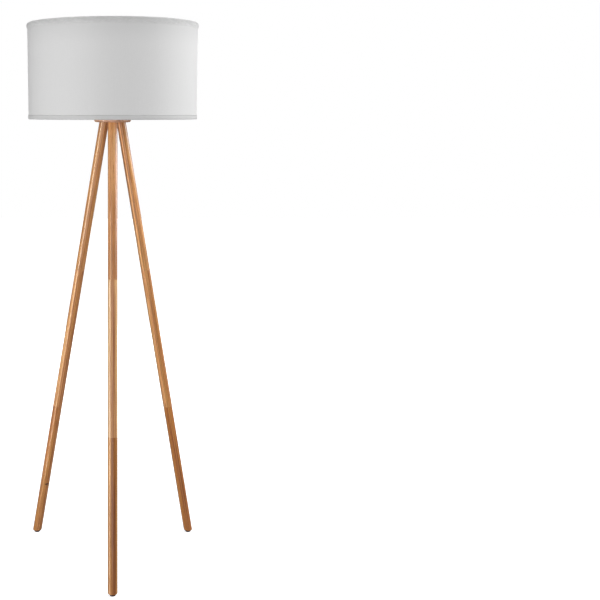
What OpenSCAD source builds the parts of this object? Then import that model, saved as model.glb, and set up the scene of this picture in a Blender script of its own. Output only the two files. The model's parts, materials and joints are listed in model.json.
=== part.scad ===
// Tripod floor lamp: a drum shade on a lampholder, a wooden top disc and three sectioned wooden legs.
// The origin is on the floor at the lamp's axis, +Z is up, and the front leg points towards -Y.

/* [Stand] */
// Height of the top disc's underside above the floor
disc_z = 1252; // [1000:2:1400]
// Diameter of the top disc
disc_d = 102; // [98:1:130]
// Thickness of the top disc
disc_t = 20; // [19:0.5:26]
// Radius of the circle through the middles of the feet
foot_r = 271; // [220:1:320]
// Radius of the circle through the leg axes at the top disc's underside
leg_top_r = 27; // [27:0.5:30]
// Width of a leg across its flats
leg_w = 25.2; // [24:0.2:26]
// Radius of a leg's rounded corners
leg_round = 10.8; // [9:0.2:12]

/* [Shade] */
// Outer diameter of the shade's cloth
shade_d = 457; // [380:1:520]
// Height of the shade
shade_h = 252; // [190:1:300]
// Rise of the shade's bottom edge above the top disc's underside
shade_rise = 8; // [0:1:12]
// Height of the rolled top hem
top_hem_h = 17; // [10:1:24]
// Height of the bottom hem
bottom_hem_h = 12; // [8:1:16]

/* [Lampholder] */
// Outer diameter of the lampholder's threaded sleeve
sleeve_d = 39.2; // [39:0.1:39.4]
// Diameter of the switch knob
knob_d = 15; // [12:0.5:16]

/* [Bulb] */
// Diameter of the bulb's globe
bulb_d = 60; // [50:1:66]

/* [Hidden] */
$fn = 96;

// Legs: 0 is the front one, 1 the rear left one, 2 the rear right one
LEG_AZIMUTH = [-90, 150, 30];
// How far each leg's top, middle and bottom section is screwed round
SECTION_TURN = [[22, 61, 59], [1, 0, 2], [74, 78, 66]];
lean = atan((foot_r - leg_top_r) / disc_z);
leg_len = norm([foot_r - leg_top_r, disc_z]);
pocket_deep = 5;
leg_end = leg_len + pocket_deep;
pad_t = 2;
pad_r = 8;
SEAM = [leg_end, leg_len * 2 / 3, leg_len / 3, -4];
leg_corner_r = (leg_w / 2 - leg_round) * sqrt(2) + leg_round;
seam_groove = 0.35;
pocket_r = leg_corner_r + 0.2;
foot_end_r = 8.5;
foot_in = 1;

// Hanger bolts, studs and inserts
bolt_r = 4;
bolt_in_leg = 28;
bolt_in_disc = 9;
disc_insert_r = 6;
disc_insert_h = 10;
stud_in_lower = 26;
stud_in_upper = 18;
joint_insert_r = 6.5;
joint_insert_h = 20;

// Nipple, its nuts and the cord's bush
disc_top = disc_z + disc_t;
recess_r = 9.5;
recess_h = 8;
nipple_r = 5;
nipple_bore_r = 3.9;
nipple_z = [disc_z + 2, disc_top + 9];
nut_flats = 14;
nut_h = 3.5;
washer_t = 1;
cord_bore_r = 3;
bush_flange_t = 1.4;
bush_sleeve_h = 8;

// Lampholder
cap_r = 17;
cap_in_r = 15;
cap_floor = 3;
cap_h = 24;
body_z = disc_top + cap_h;
flange_r = 23;
flange_t = 3;
sleeve_r = sleeve_d / 2;
sleeve_in_r = 17.2;
sleeve_top = body_z + 40;
lip_r = 13.2;
lip_t = 1.5;
core_z = body_z + lip_t;
core_top = core_z + 11.5;
insulator_r = 16.9;
shell_in_r = 13.5;
shell_t = 0.4;
shell_h = 22;
terminal_y = 10.4;
terminal_z = core_z - 4.5;

// Turn switch
switch_z = disc_top + 15.5;
shaft_r = 2;
shaft_clearance = 0.08;
bush_r = 3.5;
block_x = [-2, 12];
knob_x = [18.6, 32.6];
shaft_x = [5, 31];

// Shade and its carrier
shade_r = shade_d / 2;
shade_z = disc_z + shade_rise;
shade_top = shade_z + shade_h;
cloth_t = 0.6;
liner_t = 0.9;
edge_in = 1.2;
wire_r = 1.6;
wire_ring_r = shade_r - cloth_t - liner_t - wire_r;
hem_in_r = wire_ring_r - wire_r - 0.9;
fitter_z = body_z + flange_t + 0.1;
fitter_t = 2;
fitter_in_r = sleeve_r + 0.4;
fitter_out_r = 29;
ring_nut_z = fitter_z + fitter_t + 0.1;
ring_nut_h = 9;
ring_nut_r = 27.5;

// Bulb
tip_z = core_top + 4.5;
bulb_cap_r = 13.1;
bulb_cap_z = [tip_z + 5.5, tip_z + 27.5];
globe_r = bulb_d / 2;
housing_z = [bulb_cap_z[1], bulb_cap_z[1] + 43];
housing_t = 1.4;
globe_lift = 7;
globe_z = housing_z[1] + globe_lift;
globe_t = 1.5;
rim_r = sqrt(globe_r * globe_r - globe_lift * globe_lift);

WOOD = [0.80, 0.60, 0.42];
WOOD_DISC = [0.84, 0.62, 0.46];
RUBBER = [0.20, 0.14, 0.10];
ZINC = [0.72, 0.73, 0.75];
BRASS = [0.80, 0.65, 0.35];
PLASTIC = [0.95, 0.95, 0.93];
CERAMIC = [0.97, 0.96, 0.93];
CLOTH = [0.88, 0.88, 0.88];
WIRE = [0.92, 0.92, 0.92];
BOARD = [0.93, 0.93, 0.93];

// A tube about the lamp's axis, from the heights z[0] to z[1]
module tube(r_in, r_out, z) {
    rotate_extrude()
        translate([r_in, z[0]])
            square([r_out - r_in, z[1] - z[0]]);
}

// A rod along +Z between the heights z[0] and z[1]
module rod(r, z) {
    translate([0, 0, z[0]])
        cylinder(r = r, h = z[1] - z[0]);
}

module hex_nut(z) {
    translate([0, 0, z])
        difference() {
            cylinder(r = nut_flats / sqrt(3), h = nut_h, $fn = 6);
            translate([0, 0, -1])
                cylinder(r = nipple_r, h = nut_h + 2);
        }
}

module rounded_square(w, r) {
    square([w - 2 * r, w], center = true);
    square([w, w - 2 * r], center = true);
    for (x = [-1, 1], y = [-1, 1])
        translate([x, y] * (w / 2 - r))
            circle(r = r);
}

// Puts its children on a leg's axis: their origin on the floor, their +Z up along the leg
module at_leg(leg) {
    rotate([0, 0, LEG_AZIMUTH[leg]])
        translate([foot_r, 0, 0])
            rotate([0, -lean, 0])
                children();
}

module at_each_leg() {
    for (leg = [0 : 2])
        at_leg(leg)
            children();
}

module at_each_joint() {
    at_each_leg()
        for (seam = [SEAM[1], SEAM[2]])
            translate([0, 0, seam])
                children();
}

// One section's wood: part 0 is the top section, 1 the middle one and 2 the bottom one.
// Its ends are stepped in a little, which leaves a fine groove at each seam.
module section_blank(part, turn) {
    z0 = SEAM[part + 1];
    z1 = SEAM[part];
    rotate([0, 0, turn]) {
        translate([0, 0, z0 + seam_groove])
            linear_extrude(z1 - z0 - 2 * seam_groove)
                rounded_square(leg_w, leg_round);
        translate([0, 0, z0])
            linear_extrude(z1 - z0)
                rounded_square(leg_w - 2 * seam_groove, leg_round - seam_groove);
    }
}

// Puts its children on the floor in the middle of a leg's foot
module at_foot(leg) {
    rotate([0, 0, LEG_AZIMUTH[leg]])
        translate([foot_r - foot_in, 0, 0])
            children();
}

// The foot is cut level, with a chamfer round it
module foot_envelope() {
    chamfer_h = 6.5;
    translate([0, 0, pad_t])
        cylinder(r1 = foot_end_r, r2 = foot_end_r + chamfer_h, h = chamfer_h);
    translate([0, 0, pad_t + chamfer_h])
        cylinder(r = 150, h = SEAM[2]);
}

module leg_section(leg, part) {
    color(WOOD)
        intersection() {
            at_leg(leg)
                difference() {
                    section_blank(part, SECTION_TURN[leg][part]);
                    if (part == 0)
                        rod(bolt_r, [leg_end - bolt_in_leg, leg_end + 1]);
                    else
                        rod(bolt_r, [SEAM[part] - stud_in_lower, SEAM[part] + 1]);
                    if (part < 2)
                        rod(joint_insert_r, [SEAM[part + 1] - 1, SEAM[part + 1] + joint_insert_h]);
                }
            if (part == 2)
                at_foot(leg)
                    foot_envelope();
        }
}

module front_leg_top() { leg_section(0, 0); }
module front_leg_middle() { leg_section(0, 1); }
module front_leg_bottom() { leg_section(0, 2); }
module rear_left_leg_top() { leg_section(1, 0); }
module rear_left_leg_middle() { leg_section(1, 1); }
module rear_left_leg_bottom() { leg_section(1, 2); }
module rear_right_leg_top() { leg_section(2, 0); }
module rear_right_leg_middle() { leg_section(2, 1); }
module rear_right_leg_bottom() { leg_section(2, 2); }

// The disc has a rounded lower edge, a spot-faced pocket for each leg and a recess for the nut
module top_disc() {
    lower_round = 5;
    upper_round = 2;
    color(WOOD_DISC)
        difference() {
            rotate_extrude()
                translate([0, disc_z]) {
                    square([disc_d / 2 - lower_round, disc_t]);
                    translate([0, lower_round])
                        square([disc_d / 2, disc_t - lower_round - upper_round]);
                    square([disc_d / 2 - lower_round, lower_round]);
                    translate([disc_d / 2 - lower_round, lower_round])
                        circle(r = lower_round);
                    translate([disc_d / 2 - upper_round, disc_t - upper_round])
                        circle(r = upper_round);
                    translate([0, disc_t - upper_round])
                        square([disc_d / 2 - upper_round, upper_round]);
                }
            at_each_leg() {
                rod(pocket_r, [leg_end - 25, leg_end]);
                rod(disc_insert_r, [leg_end - 1, leg_end + disc_insert_h]);
            }
            rod(recess_r, [disc_z - 1, disc_z + recess_h]);
            rod(nipple_r + 0.2, [disc_z, disc_top + 1]);
        }
}

module leg_bolts() {
    color(ZINC)
        at_each_leg()
            rod(bolt_r, [leg_end - bolt_in_leg, leg_end + bolt_in_disc]);
}

module disc_inserts() {
    color(ZINC)
        at_each_leg()
            tube(bolt_r, disc_insert_r, [leg_end, leg_end + disc_insert_h]);
}

module joint_studs() {
    color(ZINC)
        at_each_joint()
            rod(bolt_r, [-stud_in_lower, stud_in_upper]);
}

module joint_inserts() {
    color(ZINC)
        at_each_joint()
            tube(bolt_r, joint_insert_r, [0, joint_insert_h]);
}

module foot_pad(leg) {
    color(RUBBER)
        at_foot(leg)
            rod(pad_r, [0, pad_t]);
}

module front_foot_pad() { foot_pad(0); }
module rear_left_foot_pad() { foot_pad(1); }
module rear_right_foot_pad() { foot_pad(2); }

module nipple() {
    color(ZINC)
        tube(nipple_bore_r, nipple_r, nipple_z);
}

module nipple_washer() {
    color(ZINC)
        tube(nipple_r, 9, [disc_z + recess_h - washer_t, disc_z + recess_h]);
}

module lower_nut() {
    color(ZINC)
        hex_nut(disc_z + recess_h - washer_t - nut_h);
}

module upper_nut() {
    color(ZINC)
        hex_nut(disc_top + cap_floor);
}

module cord_bush() {
    color(RUBBER) {
        tube(cord_bore_r, nipple_r, [nipple_z[0] - bush_flange_t, nipple_z[0]]);
        tube(cord_bore_r, nipple_bore_r, [nipple_z[0], nipple_z[0] + bush_sleeve_h]);
    }
}

module holder_cap() {
    color(PLASTIC)
        difference() {
            rotate_extrude() {
                translate([nipple_r, disc_top])
                    square([cap_r - nipple_r, cap_floor]);
                translate([cap_in_r, disc_top])
                    square([cap_r - cap_in_r, cap_h]);
            }
            translate([0, 0, switch_z])
                rotate([0, 90, 0])
                    cylinder(r = bush_r, h = cap_r + 5);
        }
}

// The threaded body: a short skirt in the cap, an inner lip, the flange and the sleeve
module holder_body() {
    skirt_h = 3;
    color(PLASTIC) {
        tube(lip_r, cap_in_r, [body_z - skirt_h, body_z]);
        tube(lip_r, flange_r, [body_z, body_z + lip_t]);
        tube(sleeve_in_r, flange_r, [body_z + lip_t, body_z + flange_t]);
        tube(sleeve_in_r, sleeve_r, [body_z + flange_t, sleeve_top]);
    }
}

module holder_insulator() {
    wire_hole_r = 1.5;
    color(CERAMIC)
        difference() {
            rotate_extrude() {
                translate([0, core_z])
                    square([insulator_r, core_top - core_z]);
                translate([shell_in_r + shell_t + 0.2, core_z])
                    square([insulator_r - shell_in_r - shell_t - 0.2, core_top - core_z + shell_h]);
            }
            for (y = [-1, 1])
                translate([0, 9.5 * y, core_z - 1])
                    cylinder(r = wire_hole_r, h = core_top - core_z + 2);
        }
}

module screw_shell() {
    color(BRASS) {
        tube(6, shell_in_r + shell_t, [core_top, core_top + shell_t]);
        tube(shell_in_r, shell_in_r + shell_t, [core_top, core_top + shell_h]);
    }
}

// A bent brass tongue that springs up against the bulb's tip
module centre_contact() {
    strip_t = 0.6;
    rise = tip_z - core_top - 0.3;
    color(BRASS)
        translate([-2, 0, core_top])
            rotate([90, 0, 90])
                linear_extrude(4)
                    polygon([
                        [-4.8, 0], [4.8, 0], [4.8, strip_t], [-1.5, strip_t],
                        [2.5, rise], [-2.5, rise], [-4.8, strip_t]
                    ]);
}

module terminal_blocks() {
    color(BRASS)
        for (y = [-1, 1])
            difference() {
                translate([-3, terminal_y * y - 2.2, terminal_z - 3])
                    cube([6, 4.4, 6]);
                translate([-4, terminal_y * y, terminal_z])
                    rotate([0, 90, 0])
                        cylinder(r = 1.1, h = 8);
            }
}

module terminal_screws() {
    color(ZINC)
        for (y = [-1, 1])
            translate([0, terminal_y * y, terminal_z])
                rotate([0, 90, 0]) {
                    translate([0, 0, -3])
                        cylinder(r = 1.1, h = 6);
                    translate([0, 0, 3])
                        cylinder(r = 1.9, h = 1.2);
                }
}

module switch_block() {
    color(PLASTIC)
        difference() {
            translate([block_x[0], -6.5, switch_z - 5])
                cube([block_x[1] - block_x[0], 13, 10]);
            translate([shaft_x[0] - 1, 0, switch_z])
                rotate([0, 90, 0])
                    cylinder(r = shaft_r + shaft_clearance, h = 20);
        }
}

// The bush carries the shaft through the cap's wall
module switch_bush() {
    color(BRASS)
        translate([block_x[1], 0, switch_z])
            rotate([0, 90, 0])
                difference() {
                    cylinder(r = bush_r, h = 6);
                    translate([0, 0, -1])
                        cylinder(r = shaft_r + shaft_clearance, h = 8);
                }
}

module switch_shaft() {
    color(ZINC)
        translate([shaft_x[0], 0, switch_z])
            rotate([0, 90, 0])
                cylinder(r = shaft_r, h = shaft_x[1] - shaft_x[0]);
}

module switch_knob() {
    flutes = 12;
    flute_r = 1.3;
    knob_len = knob_x[1] - knob_x[0];
    color(PLASTIC)
        translate([knob_x[0], 0, switch_z])
            rotate([0, 90, 0])
                difference() {
                    union() {
                        cylinder(r = knob_d / 2, h = knob_len - 1);
                        translate([0, 0, knob_len - 1])
                            cylinder(r1 = knob_d / 2, r2 = knob_d / 2 - 1, h = 1);
                    }
                    translate([0, 0, -1])
                        cylinder(r = shaft_r, h = shaft_x[1] - knob_x[0] + 1);
                    for (i = [0 : flutes - 1])
                        rotate([0, 0, i * 360 / flutes])
                            translate([knob_d / 2 + 0.6, 0, 3])
                                cylinder(r = flute_r, h = knob_len, $fn = 32);
                }
}

module shade_ring_nut() {
    flutes = 16;
    flute_r = 2;
    color(PLASTIC)
        difference() {
            tube(sleeve_r + 0.3, ring_nut_r, [ring_nut_z, ring_nut_z + ring_nut_h]);
            for (i = [0 : flutes - 1])
                rotate([0, 0, (i + 0.5) * 360 / flutes])
                    translate([ring_nut_r + 1, 0, ring_nut_z + 2])
                        cylinder(r = flute_r, h = ring_nut_h, $fn = 32);
        }
}

module shade_cloth() {
    color(CLOTH)
        tube(shade_r - cloth_t, shade_r, [shade_z + edge_in, shade_top - edge_in]);
}

module shade_liner() {
    color(PLASTIC)
        tube(shade_r - cloth_t - liner_t, shade_r - cloth_t,
            [shade_z + edge_in, shade_top - edge_in]);
}

// A hem tape folded over an edge: bulge is how far it stands proud of the cloth.
// The profile is drawn for an edge at height 0 with the shade below it.
module hem_profile(high, inside_high, bulge) {
    difference() {
        union() {
            translate([hem_in_r, -inside_high])
                square([wire_ring_r - hem_in_r, inside_high - wire_r]);
            translate([shade_r - 1, -high + 1])
                square([bulge + 1, high - 2.5]);
            translate([shade_r, -high])
                square([bulge - 0.6, 2]);
            translate([hem_in_r + 1.5, -1.5])
                square([shade_r + bulge - 3 - hem_in_r, 1.5]);
            translate([hem_in_r + 1.5, -1.5])
                circle(r = 1.5);
            translate([shade_r + bulge - 1.5, -1.5])
                circle(r = 1.5);
        }
        translate([wire_ring_r - wire_r, -high - 1])
            square([shade_r - wire_ring_r + wire_r, high + 1 - edge_in]);
    }
}

module top_hem() {
    color(CLOTH)
        rotate_extrude()
            translate([0, shade_top])
                hem_profile(top_hem_h, 9, 2.4);
}

// Its inside flap is slit round each spoke
module bottom_hem() {
    color(CLOTH)
        difference() {
            rotate_extrude()
                translate([0, shade_z])
                    mirror([0, 1])
                        hem_profile(bottom_hem_h, 7, 1.6);
            spoke_rods(wire_r + 0.25);
        }
}

module wire_ring(z) {
    color(WIRE)
        rotate_extrude()
            translate([wire_ring_r, z])
                circle(r = wire_r, $fn = 48);
}

module top_wire_ring() {
    wire_ring(shade_top - edge_in - wire_r);
}

module bottom_wire_ring() {
    wire_ring(shade_z + edge_in + wire_r);
}

// Three rods from the fitter ring down to the middle of the bottom wire ring
module spoke_rods(r) {
    rise = fitter_z + fitter_t / 2 - shade_z - edge_in - wire_r;
    reach = wire_ring_r - fitter_out_r + 1;
    for (azimuth = [30, 150, 270])
        rotate([0, 0, azimuth])
            translate([fitter_out_r - 1, 0, fitter_z + fitter_t / 2])
                rotate([0, 90 + atan(rise / reach), 0])
                    cylinder(r = r, h = norm([rise, reach]), $fn = 48);
}

// The spokes are coped where they are welded
module fitter_spokes() {
    color(WIRE)
        difference() {
            spoke_rods(wire_r);
            rod(fitter_out_r, [fitter_z - 3, fitter_z + fitter_t + 3]);
            bottom_wire_ring();
        }
}

module fitter_ring() {
    color(WIRE)
        tube(fitter_in_r, fitter_out_r, [fitter_z, fitter_z + fitter_t]);
}

module bulb_cap() {
    wall = 0.4;
    color(ZINC) {
        tube(bulb_cap_r - wall, bulb_cap_r, bulb_cap_z);
        tube(9, bulb_cap_r, [bulb_cap_z[0], bulb_cap_z[0] + wall]);
    }
}

module bulb_tip() {
    color(ZINC)
        rod(4.5, [tip_z, tip_z + 1]);
}

module bulb_insulator() {
    color(RUBBER)
        translate([0, 0, tip_z + 1])
            cylinder(r1 = 5, r2 = 11, h = bulb_cap_z[0] - tip_z - 1);
}

module bulb_housing() {
    foot_h = 2;
    high = housing_z[1] - housing_z[0] - foot_h;
    color(PLASTIC)
        translate([0, 0, housing_z[0]])
            difference() {
                union() {
                    cylinder(r = bulb_cap_r + 1, h = foot_h);
                    translate([0, 0, foot_h])
                        cylinder(r1 = bulb_cap_r + 1, r2 = rim_r, h = high);
                }
                translate([0, 0, -1])
                    cylinder(r = bulb_cap_r - 1, h = foot_h + 2);
                translate([0, 0, foot_h])
                    cylinder(r1 = bulb_cap_r - 1, r2 = rim_r - housing_t, h = high + 0.01);
            }
}

module driver_board() {
    color("seagreen")
        translate([-8, -0.8, bulb_cap_z[0] + 4])
            cube([16, 1.6, 34]);
}

module led_board() {
    color(BOARD)
        rod(rim_r - housing_t - 1.2, [housing_z[1] - 1.6, housing_z[1]]);
}

module led_chips() {
    chips = 8;
    color("gold")
        for (i = [0 : chips - 1])
            rotate([0, 0, i * 360 / chips])
                translate([15.5, -1.5, housing_z[1]])
                    cube([3, 3, 0.8]);
}

module bulb_diffuser() {
    color([0.98, 0.98, 0.96])
        difference() {
            translate([0, 0, globe_z])
                difference() {
                    sphere(r = globe_r);
                    sphere(r = globe_r - globe_t);
                }
            rod(globe_r + 1, [globe_z - globe_r - 1, housing_z[1]]);
        }
}

top_disc();
front_leg_top();
front_leg_middle();
front_leg_bottom();
rear_left_leg_top();
rear_left_leg_middle();
rear_left_leg_bottom();
rear_right_leg_top();
rear_right_leg_middle();
rear_right_leg_bottom();
leg_bolts();
disc_inserts();
joint_studs();
joint_inserts();
front_foot_pad();
rear_left_foot_pad();
rear_right_foot_pad();
nipple();
nipple_washer();
lower_nut();
upper_nut();
cord_bush();
holder_cap();
holder_body();
holder_insulator();
screw_shell();
centre_contact();
terminal_blocks();
terminal_screws();
switch_block();
switch_bush();
switch_shaft();
switch_knob();
shade_ring_nut();
shade_cloth();
shade_liner();
top_hem();
bottom_hem();
top_wire_ring();
bottom_wire_ring();
fitter_spokes();
fitter_ring();
bulb_cap();
bulb_tip();
bulb_insulator();
bulb_housing();
driver_board();
led_board();
led_chips();
bulb_diffuser();
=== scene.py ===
"""Looks of the tripod floor lamp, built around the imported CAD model. Lengths are in metres."""
import json
import math

import bmesh
import bpy
from mathutils import Matrix, Vector, noise


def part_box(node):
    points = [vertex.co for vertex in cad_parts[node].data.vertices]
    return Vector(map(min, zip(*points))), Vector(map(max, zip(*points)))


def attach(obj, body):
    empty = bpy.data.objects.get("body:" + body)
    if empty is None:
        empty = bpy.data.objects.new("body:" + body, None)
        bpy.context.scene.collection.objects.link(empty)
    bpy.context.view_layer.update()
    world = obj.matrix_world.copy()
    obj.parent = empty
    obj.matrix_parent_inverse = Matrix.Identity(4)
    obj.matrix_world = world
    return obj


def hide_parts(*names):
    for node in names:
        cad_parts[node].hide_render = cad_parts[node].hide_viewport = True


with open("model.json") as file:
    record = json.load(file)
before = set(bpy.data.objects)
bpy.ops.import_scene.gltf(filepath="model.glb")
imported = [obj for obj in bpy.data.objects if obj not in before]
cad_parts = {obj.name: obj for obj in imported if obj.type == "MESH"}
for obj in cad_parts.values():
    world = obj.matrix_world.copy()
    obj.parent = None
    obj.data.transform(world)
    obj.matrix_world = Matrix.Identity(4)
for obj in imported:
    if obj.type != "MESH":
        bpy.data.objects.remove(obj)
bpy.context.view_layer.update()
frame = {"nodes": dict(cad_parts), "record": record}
nodes = frame["nodes"]
scene = bpy.context.scene
MM = 0.001
TAU = 2 * math.pi
# A turned piece's profile starts this close to its axis
AXIS_R = 0.01 * MM

# ------------------------ camera
CAMERA_AT = (0, -2.678, 1.282)
CAMERA_DIP = 10.54  # degrees below the horizontal
FOCAL_LENGTH = 57.96
# The lamp stands in the left part of the picture
FRAME_SHIFT_X, FRAME_SHIFT_Y = 0.3123, -0.01525

camera = bpy.data.objects.new("Camera", bpy.data.cameras.new("Camera"))
scene.collection.objects.link(camera)
camera.location = CAMERA_AT
camera.rotation_euler = (math.radians(90 - CAMERA_DIP), 0, 0)
camera.data.lens = FOCAL_LENGTH
camera.data.shift_x = FRAME_SHIFT_X
camera.data.shift_y = FRAME_SHIFT_Y
scene.camera = camera

scene.view_settings.view_transform = "Standard"
scene.view_settings.look = "None"


# ------------------------ light
def softbox(name, azimuth, distance, height, size, power, faces_z, diffuse=True, glossy=True,
            colour=(1, 1, 1)):
    """An area light, seen from the object at this azimuth from -Y towards +X. It faces the height faces_z."""
    data = bpy.data.lights.new(name, "AREA")
    data.shape = "RECTANGLE"
    data.size, data.size_y = size
    data.energy = power
    data.color = colour
    light = bpy.data.objects.new(name, data)
    scene.collection.objects.link(light)
    a = math.radians(azimuth)
    light.location = (distance * math.sin(a), -distance * math.cos(a), height)
    towards = Vector((0, 0, faces_z)) - light.location
    light.rotation_euler = towards.to_track_quat("-Z", "Y").to_euler()
    light.visible_camera = False
    light.visible_diffuse = diffuse
    light.visible_glossy = glossy


softbox("LeftSidebox", -58, 3.0, 0.95, (0.5, 2.2), 33, 0.95, glossy=False)
softbox("GlintStrip", -60, 1.5, 0.45, (0.17, 1.7), 14.5, 0.45, diffuse=False, colour=(1.0, 0.88, 0.72))
softbox("LeftSoftbox", -14, 3.2, 0.90, (3.0, 2.2), 29, 0.95)
softbox("RightSoftbox", 91, 2.8, 1.80, (1.6, 1.4), 64, 1.4)
softbox("TopSoftbox", -20, 0.5, 3.6, (1.4, 1.4), 11, 0.8)
softbox("BackSoftbox", 180, 3.0, 1.2, (2.6, 2.0), 40, 0.9)

# The camera sees a white backdrop. The object gets a dim fill, which is brighter from the camera's side.
FILL_RANGE = {"From Min": -1.0, "From Max": 0.6, "To Min": 0.35, "To Max": 0.16}
world = bpy.data.worlds.new("World")
scene.world = world
world.use_nodes = True
world_nodes = world.node_tree.nodes
world_links = world.node_tree.links
world_nodes.clear()
world_out = world_nodes.new("ShaderNodeOutputWorld")
backdrop = world_nodes.new("ShaderNodeBackground")
fill = world_nodes.new("ShaderNodeBackground")
for background in (backdrop, fill):
    background.inputs["Color"].default_value = (1, 1, 1, 1)
backdrop.inputs["Strength"].default_value = 1.0
direction = world_nodes.new("ShaderNodeTexCoord")
split = world_nodes.new("ShaderNodeSeparateXYZ")
dimmer = world_nodes.new("ShaderNodeMapRange")
for key, value in FILL_RANGE.items():
    dimmer.inputs[key].default_value = value
world_links.new(direction.outputs["Generated"], split.inputs[0])
world_links.new(split.outputs["Y"], dimmer.inputs["Value"])
world_links.new(dimmer.outputs["Result"], fill.inputs["Strength"])
ray = world_nodes.new("ShaderNodeLightPath")
either = world_nodes.new("ShaderNodeMixShader")
world_links.new(ray.outputs["Is Camera Ray"], either.inputs[0])
world_links.new(fill.outputs[0], either.inputs[1])
world_links.new(backdrop.outputs[0], either.inputs[2])
world_links.new(either.outputs[0], world_out.inputs[0])


# ------------------------ material helpers
class Shader:
    """A Principled material and short calls that add nodes to it."""

    def __init__(self, name, **sockets):
        self.material = bpy.data.materials.new(name)
        self.material.use_nodes = True
        self.tree = self.material.node_tree
        self.tree.nodes.clear()
        out = self.tree.nodes.new("ShaderNodeOutputMaterial")
        self.bsdf = self.tree.nodes.new("ShaderNodeBsdfPrincipled")
        self.tree.links.new(self.bsdf.outputs[0], out.inputs[0])
        self.set(self.bsdf, sockets)

    def set(self, node, sockets):
        """Links or sets a node's inputs, given by number or by name with _ for a space."""
        for key, value in sockets.items():
            socket = node.inputs[key.replace("_", " ") if isinstance(key, str) else key]
            if isinstance(value, bpy.types.NodeSocket):
                self.tree.links.new(value, socket)
            elif socket.type == "RGBA" and len(value) == 3:
                socket.default_value = (*value, 1)
            else:
                socket.default_value = value

    def node(self, kind, settings=(), sockets=(), out=0):
        node = self.tree.nodes.new("ShaderNode" + kind)
        for key, value in dict(settings).items():
            setattr(node, key, value)
        self.set(node, dict(sockets))
        return node.outputs[out]

    def attribute(self, name):
        return self.node("Attribute", {"attribute_name": name}, out="Vector")

    def object_coordinates(self):
        return self.node("TexCoord", out="Object")

    def scaled(self, vector, scale):
        return self.node("VectorMath", {"operation": "MULTIPLY"}, {0: vector, 1: scale})

    def moved(self, vector, by):
        return self.node("VectorMath", {"operation": "ADD"}, {0: vector, 1: by})

    def length(self, vector):
        return self.node("VectorMath", {"operation": "LENGTH"}, {0: vector}, out="Value")

    def noise(self, vector, scale=1.0, detail=3.0, rough=0.5, out=0):
        sockets = {"Vector": vector, "Scale": scale, "Detail": detail, "Roughness": rough}
        return self.node("TexNoise", (), sockets, out)

    def centred(self, colour):
        """A noise's colour as a vector whose parts lie about 0."""
        return self.moved(colour, (-0.5, -0.5, -0.5))

    def ramp(self, value, *stops):
        node = self.tree.nodes.new("ShaderNodeValToRGB")
        while len(node.color_ramp.elements) < len(stops):
            node.color_ramp.elements.new(1.0)
        for element, (position, colour) in zip(node.color_ramp.elements, stops):
            element.position = position
            element.color = (*colour, 1)
        self.tree.links.new(value, node.inputs[0])
        return node.outputs[0]

    def mapped(self, value, low, high, to_low=0.0, to_high=1.0):
        return self.node("MapRange", {"interpolation_type": "SMOOTHSTEP"},
                         {0: value, 1: low, 2: high, 3: to_low, 4: to_high})

    def math(self, operation, a, b=0.0):
        return self.node("Math", {"operation": operation}, {0: a, 1: b})

    def weighted(self, *terms):
        """The sum of each (value, weight)."""
        total = None
        for value, weight in terms:
            term = self.math("MULTIPLY", value, weight)
            total = term if total is None else self.math("ADD", total, term)
        return total

    def mix(self, factor, a, b, blend="MIX"):
        return self.node("Mix", {"data_type": "RGBA", "blend_type": blend}, {0: factor, 6: a, 7: b}, out=2)

    def bump(self, height, distance, strength=1.0, normal=None):
        sockets = {"Height": height, "Distance": distance, "Strength": strength}
        if normal is not None:
            sockets["Normal"] = normal
        return self.node("Bump", (), sockets)


# ------------------------ mesh helpers
def finish_mesh(obj, material, body, replaced, sharp=40):
    """Shades a mesh, with edges over this many degrees sharp, puts it on its body and hides the CAD parts it
    replaces.
    """
    mesh = obj.data
    bm = bmesh.new()
    bm.from_mesh(mesh)
    bmesh.ops.recalc_face_normals(bm, faces=bm.faces)
    bm.to_mesh(mesh)
    bm.free()
    mesh.shade_smooth()
    mesh.set_sharp_from_angle(angle=math.radians(sharp))
    mesh.materials.append(material)
    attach(obj, body)
    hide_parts(*replaced)
    return obj


def mesh_object(name, verts, faces, uvs=None, attributes=()):
    """uvs holds one pair for each face corner; attributes maps a name to one vector for each vertex."""
    mesh = bpy.data.meshes.new(name)
    mesh.from_pydata(verts, [], faces)
    if uvs is not None:
        layer = mesh.uv_layers.new(name="Cloth")
        layer.data.foreach_set("uv", [x for uv in uvs for x in uv])
    for key, values in dict(attributes).items():
        attribute = mesh.attributes.new(key, "FLOAT_VECTOR", "POINT")
        attribute.data.foreach_set("vector", [x for v in values for x in v])
    obj = bpy.data.objects.new(name, mesh)
    scene.collection.objects.link(obj)
    return obj


def grid(rows, closed=False, caps=False):
    """Vertices, faces and each face corner's (row, column), of a surface whose rows are rings of points."""
    columns = len(rows[0])
    verts = [p for row in rows for p in row]
    faces, corners = [], []
    for j in range(len(rows) if closed else len(rows) - 1):
        k = (j + 1) % len(rows)
        for i in range(columns):
            n = (i + 1) % columns
            faces.append((j * columns + i, j * columns + n, k * columns + n, k * columns + i))
            corners += [(j, i), (j, i + 1), (j + 1, i + 1), (j + 1, i)]
    if caps:
        for j in (0, len(rows) - 1):
            faces.append(tuple(j * columns + i for i in range(columns)))
            corners += [(j, i) for i in range(columns)]
    return verts, faces, corners


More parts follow.
